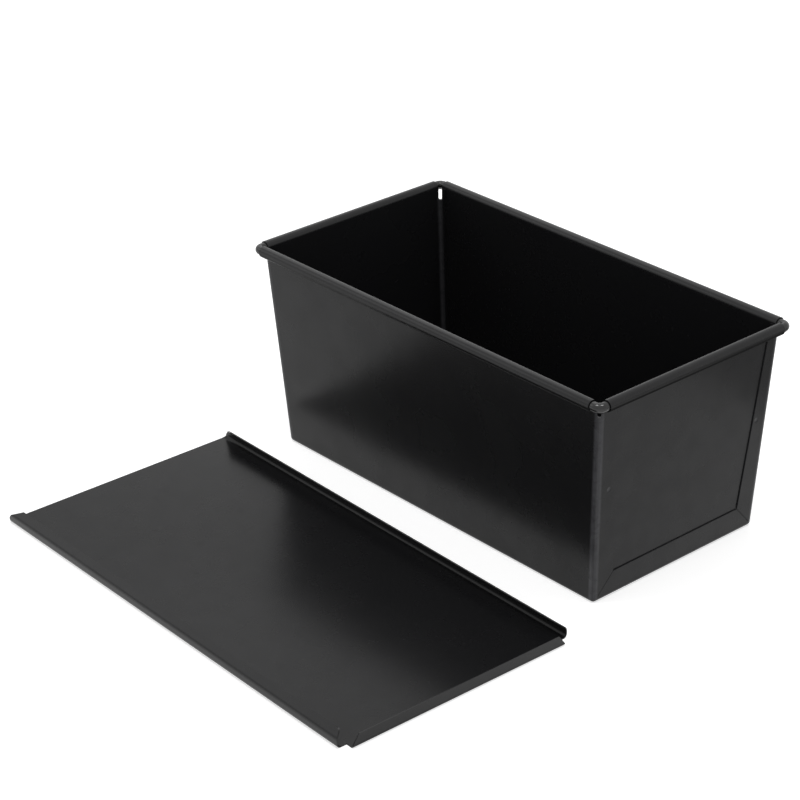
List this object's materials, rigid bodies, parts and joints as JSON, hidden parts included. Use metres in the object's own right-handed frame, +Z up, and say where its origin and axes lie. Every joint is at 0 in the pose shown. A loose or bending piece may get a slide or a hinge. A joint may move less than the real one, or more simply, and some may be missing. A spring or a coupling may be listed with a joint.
{
  "type": "lidded loaf pan",
  "caption": "Deep straight-sided bread pan of dark coated steel, with a rolled rim over a wire and a flat lid that slides along the rim in its own side rails.",
  "frame": {"origin": "middle of the pan's base, on its underside", "axes": "+X along the pan's long side, the way the lid slides off, +Y across the pan, away from the lid, +Z up"},
  "size_m": [0.2539, 0.266, 0.1047],
  "materials": {
    "coated_sheet": "satin",
    "coated_wire": "gloss",
    "coated_lid": "satin"
  },
  "bodies": {
    "pan": {"trough_sheet": "coated_sheet", "end_panel_left": "coated_sheet", "end_panel_right": "coated_sheet", "rim_wire": "coated_wire"},
    "lid": {"lid": "coated_lid"}
  },
  "joints": [
    {"name": "lid_slide", "type": "slide", "parent": "pan", "child": "lid", "axis": [0.9997, -0.0244, 0], "range_m": [0, 0.238]}
  ]
}
